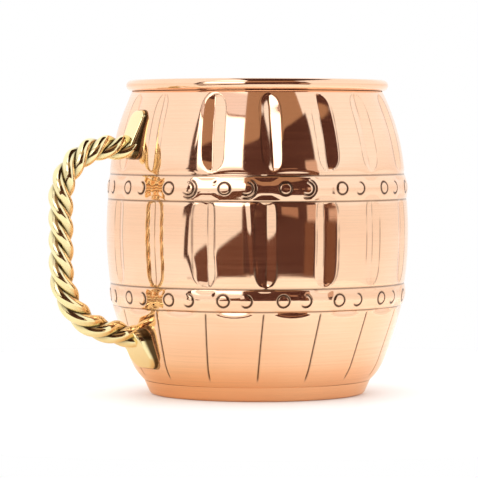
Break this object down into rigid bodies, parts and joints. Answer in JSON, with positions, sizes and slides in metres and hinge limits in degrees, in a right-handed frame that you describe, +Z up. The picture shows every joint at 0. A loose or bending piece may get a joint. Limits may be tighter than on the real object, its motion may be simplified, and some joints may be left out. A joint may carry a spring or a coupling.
{
  "type": "drinking mug",
  "caption": "Barrel-shaped copper drinking mug with pressed staves, riveted-look hoops, a rolled rim and a twisted brass rope handle.",
  "frame": {"origin": "centre of the round base, on the surface that the mug stands on", "axes": "+Z up along the barrel's axis, -X towards the handle, +Y across the handle's plane"},
  "size_m": [0.124, 0.0966, 0.1],
  "materials": {
    "copper_sheet": "mirror polished copper",
    "cast_brass": "mirror polished yellow brass",
    "braze": "satin brazing metal",
    "solder": "dull tin solder"
  },
  "bodies": {
    "root": {"barrel_shell": "copper_sheet", "base_pan": "copper_sheet", "base_solder": "solder", "rope_handle": "cast_brass", "upper_tab_braze": "braze", "lower_tab_braze": "braze"}
  },
  "joints": []
}
